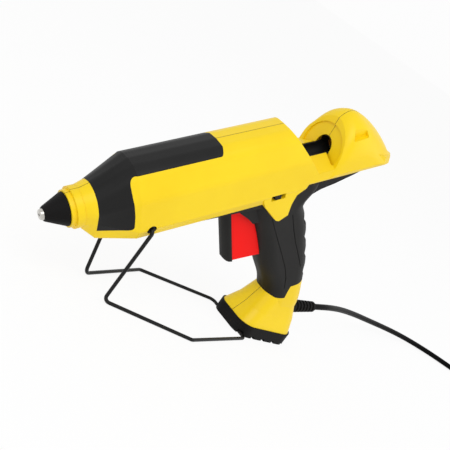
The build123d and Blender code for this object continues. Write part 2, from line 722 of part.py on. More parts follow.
strap_zone = block(235.0, 300.0, -BACKSTRAP_HALF, BACKSTRAP_HALF, -FAR, TAIL[-1][1] + 4.0)
tail = tail - core - body_outer
strap = (sleeve & strap_zone) + tail
sides = sleeve - strap_zone - tail - seam_groove(FRONT_SEAM) - seam_groove(BACK_SEAM)
nodes["backstrap"] = strap.solids().sort_by(SortBy.VOLUME)[-1]
nodes["grip_left"] = sides & block(0.0, FAR, -FAR, 0.0, -FAR, FAR)
nodes["grip_right"] = sides & block(0.0, FAR, 0.0, FAR, -FAR, FAR)

# Nozzle, its jacket, the collar and the ball valve
ball_seat = SHANK_END - 7.0
ball_x = ball_seat - (BALL_R ** 2 - (BALL_R - 0.4) ** 2) ** 0.5
nodes["nozzle"] = turned([
    (0, TIP_BORE_R), (0, TIP_R - 0.5), (0.5, TIP_R), (JACKET_START, TIP_R + 0.4),
    (NOZZLE_LENGTH, NOZZLE_BASE_R),
    (NOZZLE_LENGTH, SHANK_R), (SHANK_END, SHANK_R), (SHANK_END, BALL_R - 0.4), (ball_seat, BALL_R - 0.4),
    (ball_seat, VALVE_BORE_R), (NOZZLE_LENGTH, VALVE_BORE_R), (NOZZLE_LENGTH - 3.0, TIP_BORE_R),
])
nodes["check_ball"] = Pos(ball_x, 0, 0) * Sphere(BALL_R)
nodes["nozzle_jacket"] = turned([
    (JACKET_START, TIP_R + 0.4), (JACKET_START, JACKET_TIP_R - 0.6), (JACKET_START + 0.8, JACKET_TIP_R),
    (NOZZLE_LENGTH - 1.0, JACKET_R), (NOZZLE_LENGTH, JACKET_R), (NOZZLE_LENGTH, NOZZLE_BASE_R),
])
collar_in = SHANK_R
nodes["nose_collar"] = turned([
    (NOZZLE_LENGTH, collar_in), (NOZZLE_LENGTH, COLLAR_R), (NOZZLE_LENGTH + COLLAR_STEP, COLLAR_R),
    (NOZZLE_LENGTH + COLLAR_STEP, BEZEL_R), (BEZEL_FRONT, BEZEL_R), (BEZEL_FRONT, collar_in),
])

# Melt chamber, heaters, clamp, insulation, inlet sleeve and its clamp
chamber = rod_x(CHAMBER_R, BEZEL_FRONT, CHAMBER_END) - rod_x(SHANK_R, BEZEL_FRONT - 1.0, SHANK_END)
chamber = chamber - rod_x(STICK_R + 0.4, SHANK_END - 1.0, CHAMBER_END + 1.0)
flat = CHAMBER_R - 1.2
heaters = []
for side in (-1, 1):
    pocket = sorted((side * flat, side * (CHAMBER_R + 1.0)))
    chamber = chamber - block(HEATER_START, HEATER_START + HEATER_LENGTH, -CHAMBER_R, CHAMBER_R, *pocket)
    plate = sorted((side * flat, side * (flat + HEATER_T)))
    heater_end = HEATER_START + HEATER_LENGTH
    heaters.append(block(HEATER_START, heater_end, -HEATER_WIDTH / 2, HEATER_WIDTH / 2, *plate).solid())
nodes["melt_chamber"] = chamber
nodes["heater_plates"] = Compound(children=heaters)
clamp_in = hypot(HEATER_WIDTH / 2, flat + HEATER_T)
clamp_x = HEATER_START + HEATER_LENGTH / 2
clamp = rod_x(clamp_in + 0.7, clamp_x - 4.0, clamp_x + 4.0)
nodes["heater_clamp"] = clamp - rod_x(clamp_in, clamp_x - 5.0, clamp_x + 5.0)
first_wall = CHAMBER_FRONT + 14.0 + BULKHEAD_T
second_wall = CHAMBER_END - 5.0
wool = rod_x(SLEEVE_OUT_R, first_wall, second_wall)
nodes["insulation_sleeve"] = wool - rod_x(SLEEVE_IN_R, first_wall - 1.0, second_wall + 1.0)
inlet_end = CHAMBER_END + INLET_LENGTH
inlet = rod_x(INLET_R, CHAMBER_END, inlet_end) - rod_x(STICK_R + 0.3, CHAMBER_END - 1.0, inlet_end + 1.0)
nodes["inlet_sleeve"] = inlet
nodes["sleeve_clamp"] = (rod_x(CLAMP_R, CHAMBER_END + 3.0, CHAMBER_END + 3.0 + CLAMP_LENGTH)
                         - rod_x(INLET_R, CHAMBER_END, inlet_end))

# Feed carriage: a ring on two side tabs, with a lug for the lever's upper fork
swing = radians(LEVER_SWING / 2)
top_pin = (PIVOT_X + LEVER_TOP_ARM * sin(swing), PIVOT_Z + LEVER_TOP_ARM * cos(swing))
low_pin = (PIVOT_X - LEVER_LOW_ARM * sin(swing), PIVOT_Z - LEVER_LOW_ARM * cos(swing))
carriage_end = CARRIAGE_FRONT + CARRIAGE_LENGTH
tab_reach = BODY_HALF - WALL - SLIDE_GAP
cheek_in = LEVER_HALF_T + PIN_GAP
cheek_out = cheek_in + 3.0
carriage = rod_x(CARRIAGE_R, CARRIAGE_FRONT, carriage_end)
tab_ends = (CARRIAGE_FRONT + 2.0, carriage_end - 2.0)
carriage = carriage + block(*tab_ends, -tab_reach, tab_reach, -TAB_HALF_T, TAB_HALF_T)
for side in (-1, 1):
    cheek = sorted((side * cheek_in, side * cheek_out))
    carriage = carriage + block(top_pin[0] - 5.0, top_pin[0] + 5.0, *cheek, top_pin[1] - 4.0, 0.0)
carriage = carriage + rod_y(DRIVE_PIN_R, *top_pin, -cheek_out, cheek_out)
carriage = carriage - rod_x(CARRIAGE_BORE_R, CARRIAGE_FRONT - 1.0, carriage_end + 1.0)
nodes["feed_carriage"] = carriage

# Stick guide: a half pipe in the tray, closed to a ring inside the hood
guide = rod_x(TRAY_HALF, guide_start, guide_end)
guide = guide - rod_x(TRAY_HALF - GUIDE_WALL, guide_start - 1.0, guide_end + 1.0)
guide = guide - block(0.0, guide_end - GUIDE_RING, -FAR, FAR, 0.0, FAR)
nodes["stick_guide"] = guide

# Trigger: red body with cheeks for the lever's lower fork, and the soft pad in front
def trigger_front(z):
    return TRIGGER_FRONT + (TRIGGER_TOP - z) * TRIGGER_LEAN


red_low = TRIGGER_LOW + 2.5
red = prism_y([
    (trigger_front(TRIGGER_TOP), TRIGGER_TOP),
    *[(TRIGGER_FRONT + back, TRIGGER_TOP - down) for back, down in RED_SHOULDER],
    (RED_BACK, TRIGGER_TOP - RED_SHOULDER[-1][1]), (RED_BACK, TRIGGER_LOW),
    (TRIGGER_FRONT + 21.0, red_low - 0.8), (trigger_front(red_low), red_low),
], RED_HALF)
slot = block(low_pin[0] - 9.0, RED_BACK + 1.0, -cheek_in, cheek_in, low_pin[1] - 8.0, TRIGGER_TOP)
red = red - slot + rod_y(DRIVE_PIN_R, *low_pin, -RED_HALF, RED_HALF)
nodes["trigger_body"] = red
pad_plan = Plane.XY.offset(TRIGGER_TOP) * Pos(TRIGGER_FRONT + 3.0, 0)
pad_plan = pad_plan * RectangleRounded(2 * PAD_T + 6.0, 2 * PAD_HALF, PAD_ROUND)
pad_low = red_low - 1.0
pad_foot = trigger_front(red_low)
pad_side = prism_y([
    (TRIGGER_FRONT, TRIGGER_TOP), (pad_foot, red_low), (pad_foot + 0.2, pad_low),
    (pad_foot - PAD_T - 0.3, pad_low), (TRIGGER_FRONT - PAD_T - 0.3, TRIGGER_TOP),
], FAR / 4, [0, 0, 0, PAD_TOE_ROUND, 0])
pad = extrude(pad_plan, TRIGGER_TOP - TRIGGER_LOW + 10.0, dir=(TRIGGER_LEAN, 0, -1)) & pad_side
nodes["trigger_pad"] = pad

# Feed lever: hub on the pin, an open fork at each end
arm = block(-4.5, 4.5, -LEVER_HALF_T, LEVER_HALF_T, -LEVER_LOW_ARM - 4.0, LEVER_TOP_ARM + 4.0)
arm = arm + rod_y(HUB_R, 0, 0, -RED_HALF, RED_HALF)
fork = DRIVE_PIN_R + PIN_GAP
arm = arm - block(-fork, fork, -FAR, FAR, LEVER_TOP_ARM * cos(swing) - fork - 0.3, FAR)
arm = arm - block(-fork, fork, -FAR, FAR, -FAR, -LEVER_LOW_ARM * cos(swing) + fork + 0.3)
arm = arm - rod_y(LEVER_PIN_R + RUNNING_GAP, 0, 0, -FAR, FAR)
nodes["feed_lever"] = Pos(PIVOT_X, 0, PIVOT_Z) * Rot(0, LEVER_SWING / 2, 0) * arm

# Springs
def spring(start, end, radius, wire, turns):
    lift = end - start - 2 * wire
    path = Helix(lift / turns, lift, radius)
    coil = sweep(Plane(origin=path @ 0, z_dir=path % 0) * Circle(wire), path=path)
    return Pos(start + wire, 0, 0) * Rot(0, 90, 0) * coil


nodes["return_spring"] = Pos(0, 0, SPRING_Z) * spring(RED_BACK, SPRING_END, SPRING_R, 0.6, 9)
nodes["check_spring"] = spring(NOZZLE_LENGTH, ball_x - BALL_R, VALVE_BORE_R - 0.6, 0.35, 5)

# Temperature switch
knob_half = KNOB_LENGTH / 2
knob_high = SLOT_HEIGHT / 2 - SLIDE_GAP
knob_back = SWITCH_FACE_Y - SLIDE_GAP
knob_depth = (-BODY_HALF + 0.9 - KNOB_PROUD, knob_back)
knob_ends = (SWITCH_X - knob_half, SWITCH_X + knob_half)
knob = block(*knob_ends, *knob_depth, SWITCH_Z - knob_high, SWITCH_Z + knob_high)
knob_foot = (SWITCH_X - 8.0, SWITCH_X + 8.0)
knob = knob + block(*knob_foot, knob_back - 1.4, knob_back, SWITCH_Z - 4.0, SWITCH_Z + 4.0)
nodes["switch_knob"] = knob
nodes["switch_body"] = block(SWITCH_X - SWITCH_HALF_L, SWITCH_X + SWITCH_HALF_L, SWITCH_FACE_Y, SWITCH_BACK_Y,
                             SWITCH_Z - 4.5, SWITCH_Z + 4.0)

# Circuit board on the spring seat, terminal block on the sole
board_x = SPRING_END + SPRING_SEAT_T
nodes["circuit_board"] = block(board_x, board_x + 1.6, -8.0, 8.0, SPRING_Z - 21.0, SPRING_Z + 9.0)

# Sole
sole = extrude(foot_shape(SOLE_FRONT, SOLE_BACK, SOLE_HALF), SOLE_HEIGHT)
bar_room = WIRE_R + WIRE_GAP
sole = sole - block(BAR_S - bar_room, BAR_S + bar_room, -FAR, FAR, -1.0, 2 * WIRE_R + WIRE_GAP)
pitch = (SOLE_BACK - BAR_S - 12.0) / TREAD_COUNT
for i in range(TREAD_COUNT):
    middle = BAR_S + 10.0 + pitch * (i + 0.35)
    sole = sole - block(middle - TREAD_WIDTH / 2, middle + TREAD_WIDTH / 2, -FAR, FAR, -1.0, TREAD_DEPTH)
terminal = block(284.0, 299.0, -9.0, 9.0, SOLE_HEIGHT, SOLE_HEIGHT + 11.0)
table_nodes = {"sole": sole, "terminal_block": terminal}

# Wire stand and its bushes
pivot = TO_TABLE * Pos(STAND_X, 0, STAND_Z)
pivot_s = pivot.position.X
pivot_z = pivot.position.Z
wire_out = BODY_HALF + WIRE_STANDOFF
half_wire = [
    (pivot_s, -BODY_HALF + WIRE_END_IN, pivot_z), (pivot_s, -wire_out, pivot_z), (TOE_S, -TOE_Y, WIRE_R),
    (KNEE_S, -KNEE_Y, WIRE_R), (BAR_S, -BAR_Y, WIRE_R),
]
wire_points = half_wire + [(s, -y, z) for s, y, z in reversed(half_wire)]
bends = [WIRE_HOOK_R] + [WIRE_BEND_R] * 6 + [WIRE_HOOK_R]
wire_path = FilletPolyline(*wire_points, radius=bends)
wire_start = Plane(origin=wire_points[0], x_dir=(1, 0, 0), z_dir=(0, -1, 0))
table_nodes["stand_wire"] = sweep(wire_start * Circle(WIRE_R), path=wire_path)
bush_out = wire_out - WIRE_HOOK_R - 0.4
bushes = []
for side in (-1, 1):
    ends = sorted((side * (BODY_HALF - WIRE_END_IN - 1.5), side * bush_out))
    bush = rod_y(BUSH_R, STAND_X, STAND_Z, *ends) - rod_y(WIRE_R + RUNNING_GAP, STAND_X, STAND_Z, -FAR, FAR)
    bushes.append(bush.solid())
nodes["stand_bushes"] = Compound(children=bushes)

# Strain relief
half_cord = CORD_D / 2
flange_at = -FLANGE_IN
neck_at = flange_at + FLANGE_T
relief = [(flange_at, half_cord), (flange_at, FLANGE_R), (neck_at, FLANGE_R), (neck_at, RELIEF_R)]
rib = (RELIEF_BACK + RELIEF_LENGTH) / (2 * RELIEF_RIBS)
for i in range(2 * RELIEF_RIBS):
    radius = RELIEF_R + (RELIEF_TIP_R - RELIEF_R) * i / (2 * RELIEF_RIBS) - (1.1 if i % 2 else 0.0)
    relief = relief + [(i * rib - RELIEF_BACK, radius), ((i + 1) * rib - RELIEF_BACK, radius)]
relief = relief + [(RELIEF_LENGTH, half_cord)]
relief = [p for i, p in enumerate(relief) if i == 0 or p != relief[i - 1]]
table_nodes["strain_relief"] = AT_EXIT * turned(relief)

# Mains lead from the relief to the coil
heading = radians(COIL_HEADING)
AT_COIL = Pos(COIL_S, COIL_Y, 0) * Rot(0, 0, COIL_HEADING - 90.0)
coil_low = half_cord + TIE_T + TIE_GAP
coil_high = coil_low + COIL_STEP


def at(location, *point):
    return tuple((location * Pos(*point)).position)


route = [at(AT_EXIT, 0, 0, 0), at(AT_EXIT, CORD_STRAIGHT, 0, 0)] + CORD_ROUTE
route = route + [at(AT_COIL, COIL_R, -COIL_LEAD_IN, coil_low), at(AT_COIL, COIL_R, 0, coil_low)]


def bend_radii(points, first_reach=FAR):
    # The largest bends that fit the runs; the first starts within first_reach of its corner
    radii = []
    for a, b, c in zip(points, points[1:], points[2:]):
        u = Vector(*b) - Vector(*a)
        v = Vector(*c) - Vector(*b)
        half_turn = radians(u.get_angle(v)) / 2
        reach = min(0.45 * u.length, 0.45 * v.length, FAR if radii else first_reach)
        radii.append(reach / tan(half_turn))
    return radii


def cord_tube(path):
    start = Plane(origin=path @ 0, z_dir=path % 0)
    return sweep(start * Circle(half_cord), path=path)


lead_radii = bend_radii(route, CORD_STRAIGHT - RELIEF_LENGTH - 1.0)
print("lead bend radii", [round(r, 1) for r in lead_radii])
lead_path = FilletPolyline(*route, radius=lead_radii)
table_nodes["cord_lead"] = cord_tube(lead_path)

# Coil: half turns inwards on the table, one that climbs, half turns outwards on top
steps = [(COIL_R - i * COIL_STEP / 2, coil_low) for i in range(2 * COIL_TURNS + 1)]
steps = steps + [(steps[-1][0] + i * COIL_STEP / 2, coil_high) for i in range(2 * COIL_TURNS)]
arcs = []
for i, ((r0, z0), (r1, z1)) in enumerate(zip(steps, steps[1:])):
    side = 1 if i % 2 == 0 else -1
    start = at(AT_COIL, side * r0, 0, z0)
    end = at(AT_COIL, -side * r1, 0, z1)
    top = at(AT_COIL, side * (r0 - r1) / 2, side * (r0 + r1) / 2, (z0 + z1) / 2)
    arcs.append(ThreePointArc(start, top, end))
out_r = steps[-1][0]
AT_TAIL = AT_COIL * Pos(out_r - TAIL_R, 0, coil_high)
tail_spots = [AT_TAIL * Rot(0, 0, TAIL_TURN * share) * Pos(TAIL_R, 0, 0) for share in (0.0, 0.5, 1.0)]
tail_path = ThreePointArc(*[tuple(spot.position) for spot in tail_spots])
coil_path = Wire([a.edge() for a in arcs])
table_nodes["cord_coil"] = cord_tube(coil_path)
table_nodes["cord_tail"] = cord_tube(tail_path)
print("coil mid-turn across", round(steps[0][0] + steps[2 * COIL_TURNS][0], 1))
for name, path in (("cord_lead", lead_path), ("cord_coil", coil_path), ("cord_tail", tail_path)):
    print(name, "length", round(path.length), "volume ratio",
          round(table_nodes[name].volume / (pi * half_cord ** 2 * path.length), 4))

# Smallest gap between turns, on points along the coil
count = 1200
samples = [coil_path @ (i / count) for i in range(count + 1)]
apart = int(3 * CORD_D / (coil_path.length / count))
closest = min((samples[i] - samples[j]).length for i in range(count) for j in range(i + apart, count, 2))
print("coil turns apart", round(closest - CORD_D, 2))

# Tie round the coil
tie_in = steps[2 * COIL_TURNS][0] - half_cord - TIE_GAP - 1.0
tie_out = steps[1][0] + half_cord + TIE_GAP
tie_low = coil_low - half_cord - TIE_GAP
tie_high = coil_high + half_cord + TIE_GAP
tie_ends = (-tie_out - TIE_T, -tie_in + TIE_T)
tie = block(*tie_ends, -TIE_WIDTH / 2, TIE_WIDTH / 2, tie_low - TIE_T, tie_high + TIE_T)
tie = tie - block(-tie_out, -tie_in, -TIE_WIDTH, TIE_WIDTH, tie_low, tie_high)
table_nodes["coil_tie"] = AT_COIL * tie

# Plug
AT_PLUG = tail_spots[-1] * Pos(0, PLUG_GAP, 0) * Rot(0, 0, 90)
plug_height = 2 * coil_high
neck_face = Plane.YZ * RectangleRounded(PLUG_NECK, PLUG_NECK, 4.0)
wide_face = Plane.YZ.offset(PLUG_LENGTH * 0.7) * RectangleRounded(PLUG_WIDTH, plug_height, 4.0)
front_face = Plane.YZ.offset(PLUG_LENGTH) * RectangleRounded(PLUG_WIDTH, plug_height, 4.0)
plug = loft([neck_face, wide_face], ruled=True) + loft([wide_face, front_face], ruled=True)
pins = []
for side in (-1, 1):
    y = side * PIN_PITCH / 2
    plug = plug - rod_x(PIN_R, PLUG_LENGTH - 8.0, PLUG_LENGTH + 1.0, y)
    pins.append((AT_PLUG * rod_x(PIN_R, PLUG_LENGTH - 8.0, PLUG_LENGTH + PIN_LENGTH, y)).solid())
table_nodes["plug_body"] = AT_PLUG * plug
table_nodes["plug_pins"] = Compound(children=pins)

# Inner leads: mains pair to the board, heater pair along the right-hand side
def lead(points):
    path = FilletPolyline(*points, radius=3.0)
    return sweep(Plane(origin=path @ 0, z_dir=path % 0) * Circle(LEAD_R), path=path).solid()


board_back = board_x + 1.6 + LEAD_R
leads = []
for side in (-1, 1):
    foot = at(TO_GUN, 292.0, side * 4.0, SOLE_HEIGHT + 11.0)
    leads.append(lead([foot, at(TO_GUN, 292.0, side * 4.0, SOLE_HEIGHT + 22.0), (252.0, side * 4.0, -138.0),
                       (board_back, side * 5.0, SPRING_Z - 24.0), (board_back, side * 5.0, SPRING_Z - 8.0)]))
    terminal_top = SOLE_HEIGHT + 11.0 + LEAD_R
    leads.append(lead([at(AT_EXIT, 0, side * 1.25, 0), at(AT_EXIT, -FLANGE_IN - 5.0, side * 1.25, 0),
                       (301.0, side * 5.0, terminal_top), (290.0, side * 5.0, terminal_top)]))
mains_leads = [leads[0], leads[2]]
for y in (1.0, 4.0):
    mains_leads.append(lead([
        (board_back, y, SPRING_Z), (board_back, y, SPRING_Z + 10.0), (234.0, y + 2.5, SPRING_Z + 29.0),
        (224.0, y + 7.0, -36.0), (216.0, y + 10.0, -21.0), (196.0, y + 12.0, -15.5), (126.0, y + 12.0, -15.5),
        (119.0, y + 5.0, -15.5), (second_wall + BULKHEAD_T, y + 5.0, -15.5),
    ]))
nodes["inner_leads"] = Compound(children=mains_leads + [TO_GUN * leads[1], TO_GUN * leads[3]])

# Everything on to the table, with the origin under the middle of the gun and stand
for name, shape in nodes.items():
    table_nodes[name] = TO_TABLE * shape
cord_names = ["cord_lead", "cord_coil", "cord_tail", "coil_tie", "plug_body", "plug_pins"]
boxes = [shape.bounding_box() for name, shape in table_nodes.items() if name not in cord_names]
middle_s = (min(b.min.X for b in boxes) + max(b.max.X for b in boxes)) / 2
middle_y = (min(b.min.Y for b in boxes) + max(b.max.Y for b in boxes)) / 2
lowest = min(b.min.Z for b in boxes)
home = Pos(-middle_s, -middle_y, -lowest)
print("origin moved by", round(middle_s, 3), round(middle_y, 3), round(lowest, 3))
os.makedirs("parts", exist_ok=True)
for name, shape in table_nodes.items():
    placed = home * shape
    export_step(placed, f"parts/{name}.step")
    box = placed.bounding_box()
    print(name, "solids", len(placed.solids()), "volume", round(placed.volume),
          [round(v, 1) for v in (*box.min, *box.max)])
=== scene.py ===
# Hot-melt glue gun on its wire stand: finishes, springs, mains lead, camera and light round the CAD nodes
import math

import bmesh
import bpy
from mathutils import Matrix, Vector


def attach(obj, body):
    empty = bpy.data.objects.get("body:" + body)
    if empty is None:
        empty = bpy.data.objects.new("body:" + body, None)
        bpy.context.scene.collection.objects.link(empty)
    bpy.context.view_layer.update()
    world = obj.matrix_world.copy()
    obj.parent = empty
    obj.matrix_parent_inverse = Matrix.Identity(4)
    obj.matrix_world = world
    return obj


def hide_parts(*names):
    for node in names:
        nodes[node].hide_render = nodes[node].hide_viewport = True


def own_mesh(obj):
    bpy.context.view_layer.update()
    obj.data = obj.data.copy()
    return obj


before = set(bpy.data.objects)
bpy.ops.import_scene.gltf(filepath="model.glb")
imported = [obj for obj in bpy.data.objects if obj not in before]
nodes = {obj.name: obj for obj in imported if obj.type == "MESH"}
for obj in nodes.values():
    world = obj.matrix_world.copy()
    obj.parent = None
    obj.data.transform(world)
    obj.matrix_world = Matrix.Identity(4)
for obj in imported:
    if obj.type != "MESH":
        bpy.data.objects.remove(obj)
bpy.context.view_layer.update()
MM = 0.001
EDGE_ROUND = 0.6

# The gun's own frame inside the shared frame: x from the nozzle tip to the rear, y right, z up.
# It leans nose-down by TILT, with its tip MIDDLE before the origin
TILT = math.radians(32.8)
MIDDLE = 177.208
TABLE = Matrix.Translation((-MIDDLE * MM, 0, 0))


def linear(code):
    # One sRGB hex value as the linear colour that the shaders take
    parts = [int(code[i:i + 2], 16) / 255 for i in (1, 3, 5)]
    return tuple(p / 12.92 if p <= 0.04045 else ((p + 0.055) / 1.055) ** 2.4 for p in parts) + (1.0,)


def add(tree, kind, links=None, **settings):
    # One node with its settings, and links given as socket name to the socket that feeds it
    node = tree.nodes.new(kind)
    for name, value in settings.items():
        if name in node.inputs:
            node.inputs[name].default_value = value
        else:
            setattr(node, name, value)
    for name, source in (links or {}).items():
        tree.links.new(source, node.inputs[name])
    return node


def per_metre(size_mm):
    # Noise scale whose features are about that many millimetres across
    return 1 / (size_mm * MM)


def new_material(name, **settings):
    material = bpy.data.materials.new(name)
    material.use_nodes = True
    tree = material.node_tree
    shader = tree.nodes["Principled BSDF"]
    for key, value in settings.items():
        shader.inputs[key].default_value = value
    return material, tree, shader


# Stretches of a noise's values over which tone and gloss change, sizes in mm, and how far gloss strays
NOISE_LOW = 0.3
NOISE_HIGH = 0.7
TONE_LOW = 0.35
TONE_HIGH = 0.65
PATCH_HIGH = 0.7
PATCH_MM = 9.0
MARK_DEPTH = 0.05
SKIN_SMOOTHER = 0.05
SKIN_ROUGHER = 0.06
METAL_SMOOTHER = 0.08
METAL_ROUGHER = 0.1


def two_tones(tree, noise, shade, code, high):
    # Colour that drifts from a shade to the main tone with a noise
    tone = add(tree, "ShaderNodeValToRGB", {"Fac": noise.outputs["Fac"]})
    tone.color_ramp.elements[0].position = TONE_LOW
    tone.color_ramp.elements[0].color = linear(shade)
    tone.color_ramp.elements[1].position = high
    tone.color_ramp.elements[1].color = linear(code)
    return tone


def moulded(name, code, shade, roughness, grain_mm, depth_mm, cloud_mm, **more):
    # Moulded plastic or rubber: a fine grain from the tool, and a slow drift of tone and gloss
    material, tree, shader = new_material(name, Roughness=roughness, **more)
    place = add(tree, "ShaderNodeTexCoord").outputs["Object"]
    grain = add(tree, "ShaderNodeTexNoise", {"Vector": place}, Scale=per_metre(grain_mm),
                Detail=3.0, Roughness=0.6)
    cloud = add(tree, "ShaderNodeTexNoise", {"Vector": place}, Scale=per_metre(cloud_mm), Detail=2.0)
    tone = two_tones(tree, cloud, shade, code, TONE_HIGH)
    gloss = add(tree, "ShaderNodeMapRange", {"Value": grain.outputs["Fac"]}, **{
        "From Min": NOISE_LOW, "From Max": NOISE_HIGH,
        "To Min": roughness - SKIN_SMOOTHER, "To Max": roughness + SKIN_ROUGHER})
    worn_edge = add(tree, "ShaderNodeBevel", Radius=EDGE_ROUND * MM, samples=4)
    bump = add(tree, "ShaderNodeBump", {
        "Height": grain.outputs["Fac"], "Normal": worn_edge.outputs["Normal"]},
        Strength=0.5, Distance=depth_mm * MM)
    tree.links.new(tone.outputs["Color"], shader.inputs["Base Color"])
    tree.links.new(gloss.outputs["Result"], shader.inputs["Roughness"])
    tree.links.new(bump.outputs["Normal"], shader.inputs["Normal"])
    return material


def parting_line(material, width_mm, depth_mm, darker):
    # The join of the housing's halves on the middle plane: a narrow dark groove
    tree = material.node_tree
    shader = tree.nodes["Principled BSDF"]
    place = add(tree, "ShaderNodeTexCoord").outputs["Object"]
    across = add(tree, "ShaderNodeSeparateXYZ", {"Vector": place}).outputs["Y"]
    away_from_join = add(tree, "ShaderNodeMath", {0: across}, operation="ABSOLUTE").outputs["Value"]
    join = add(tree, "ShaderNodeMapRange", {"Value": away_from_join}, **{
        "From Min": width_mm * MM * 0.25, "From Max": width_mm * MM * 0.5, "To Min": 1.0, "To Max": 0.0})
    colour = shader.inputs["Base Color"].links[0].from_socket
    shaded = add(tree, "ShaderNodeMix", {"Factor": join.outputs["Result"]}, data_type="RGBA")
    tree.links.new(colour, shaded.inputs["A"])
    shaded.inputs["B"].default_value = linear(darker)
    normal = shader.inputs["Normal"].links[0].from_socket
    groove = add(tree, "ShaderNodeBump", {"Height": join.outputs["Result"], "Normal": normal}, Strength=1.0,
                 Distance=depth_mm * MM, invert=True)
    tree.links.new(shaded.outputs["Result"], shader.inputs["Base Color"])
    tree.links.new(groove.outputs["Normal"], shader.inputs["Normal"])


def metal(name, code, shade, roughness, mark_mm, stretch):
    # Worked metal: fine marks drawn out along the tool's way, and patches of dulled surface
    material, tree, shader = new_material(name, Metallic=1.0, Roughness=roughness)
    place = add(tree, "ShaderNodeTexCoord").outputs["Object"]
    turned_to = add(tree, "ShaderNodeMapping", {"Vector": place}, Rotation=(0, TILT, 0), Scale=stretch)
    marks = add(tree, "ShaderNodeTexNoise", {"Vector": turned_to.outputs["Vector"]},
                Scale=per_metre(mark_mm), Detail=4.0)
    patches = add(tree, "ShaderNodeTexNoise", {"Vector": place}, Scale=per_metre(PATCH_MM), Detail=3.0)
    tone = two_tones(tree, patches, shade, code, PATCH_HIGH)
    gloss = add(tree, "ShaderNodeMapRange", {"Value": marks.outputs["Fac"]}, **{
        "From Min": NOISE_LOW, "From Max": NOISE_HIGH,
        "To Min": roughness - METAL_SMOOTHER, "To Max": roughness + METAL_ROUGHER})
    bump = add(tree, "ShaderNodeBump", {"Height": marks.outputs["Fac"]}, Strength=0.25,
               Distance=MARK_DEPTH * MM)
    tree.links.new(tone.outputs["Color"], shader.inputs["Base Color"])
    tree.links.new(gloss.outputs["Result"], shader.inputs["Roughness"])
    tree.links.new(bump.outputs["Normal"], shader.inputs["Normal"])
    return material


# Share of mirror reflection, lower for eroded and rubbery skins than for polished ones
SHEEN = {"IOR": 1.54, "Specular IOR Level": 0.3}
SATIN = {"IOR": 1.5, "Specular IOR Level": 0.22}
DULL = {"IOR": 1.5, "Specular IOR Level": 0.13}
MATT = {"IOR": 1.5, "Specular IOR Level": 0.05}
# Yellow ABS, moulded in a finely eroded tool: even colour, soft wide highlights
yellow_abs = moulded("yellow_moulded_abs", "#FCD90E", "#F8D308",
                     roughness=0.4, grain_mm=0.5, depth_mm=0.03, cloud_mm=40.0, **SHEEN)
parting_line(yellow_abs, width_mm=0.5, depth_mm=0.3, darker="#8C7408")
# Black glass-filled nylon: dull, a little grey where light grazes it
black_nylon = moulded("black_moulded_nylon", "#131313", "#0E0E0E",
                      roughness=0.46, grain_mm=0.6, depth_mm=0.05, cloud_mm=30.0, **SATIN)
# Black soft-touch rubber moulded over the handle: matt with a velvety edge
soft_rubber = moulded("black_soft_touch_rubber", "#191817", "#141312",
                      roughness=0.55, grain_mm=0.7, depth_mm=0.06, cloud_mm=35.0, **SATIN)
# Black rubber of the sole, the relief and the nozzle's jacket: flat and darker
dark_rubber = moulded("black_filled_rubber", "#100F0F", "#0C0B0B",
                      roughness=0.6, grain_mm=0.8, depth_mm=0.06, cloud_mm=25.0, **DULL)
# Red ABS of the trigger: smooth and brighter than the grip
red_abs = moulded("red_moulded_abs", "#FF0A05", "#FA0804",
                  roughness=0.42, grain_mm=0.5, depth_mm=0.03, cloud_mm=30.0, **DULL)
# Black PVC of the mains lead: smooth extruded skin
black_pvc = moulded("black_extruded_pvc", "#070707", "#050505",
                    roughness=0.42, grain_mm=0.8, depth_mm=0.02, cloud_mm=25.0, **MATT)
# Black powder coat on the steel wire: slight orange peel
powder_coat = moulded("black_powder_coat", "#121212", "#0D0D0D",
                      roughness=0.38, grain_mm=0.9, depth_mm=0.06, cloud_mm=20.0, **SATIN)
# Pale moulded plastic, laminate, silicone and ceramic of the inner parts
pale_plastic = moulded("pale_moulded_nylon", "#D9D7CF", "#CFCDC4",
                       roughness=0.45, grain_mm=0.6, depth_mm=0.04, cloud_mm=20.0, IOR=1.53)
green_laminate = moulded("green_glass_laminate", "#2C5E36", "#244F2D",
                         roughness=0.4, grain_mm=1.2, depth_mm=0.03, cloud_mm=10.0, IOR=1.55)
red_silicone = moulded("red_silicone_rubber", "#B4574A", "#A74E42",
                       roughness=0.5, grain_mm=0.8, depth_mm=0.04, cloud_mm=15.0, IOR=1.42)
white_ceramic = moulded("white_pressed_ceramic", "#E2DFD6", "#D6D2C7",
                        roughness=0.55, grain_mm=0.4, depth_mm=0.03, cloud_mm=8.0, IOR=1.6)
glass_sleeve = moulded("woven_glass_sleeve", "#D8D3C2", "#C6C0AC",
                       roughness=0.75, grain_mm=1.0, depth_mm=0.3, cloud_mm=12.0, IOR=1.5)
# Nickel-plated brass, turned: bright with fine rings
nickel = metal("turned_nickel_plate", "#D2D0CB", "#B4B1AA",
               roughness=0.26, mark_mm=0.5, stretch=(6.0, 1.0, 1.0))
# Zinc-plated steel of screws, springs, lever and clamps
zinc = metal("zinc_plated_steel", "#C4C6C8", "#A5A8AB",
             roughness=0.32, mark_mm=0.8, stretch=(1.0, 3.0, 1.0))
# Cast aluminium of the melt chamber: grey, slightly rough
cast_metal = metal("cast_aluminium", "#BFC0C1", "#A2A3A5",
                   roughness=0.45, mark_mm=1.2, stretch=(1.0, 1.0, 1.0))

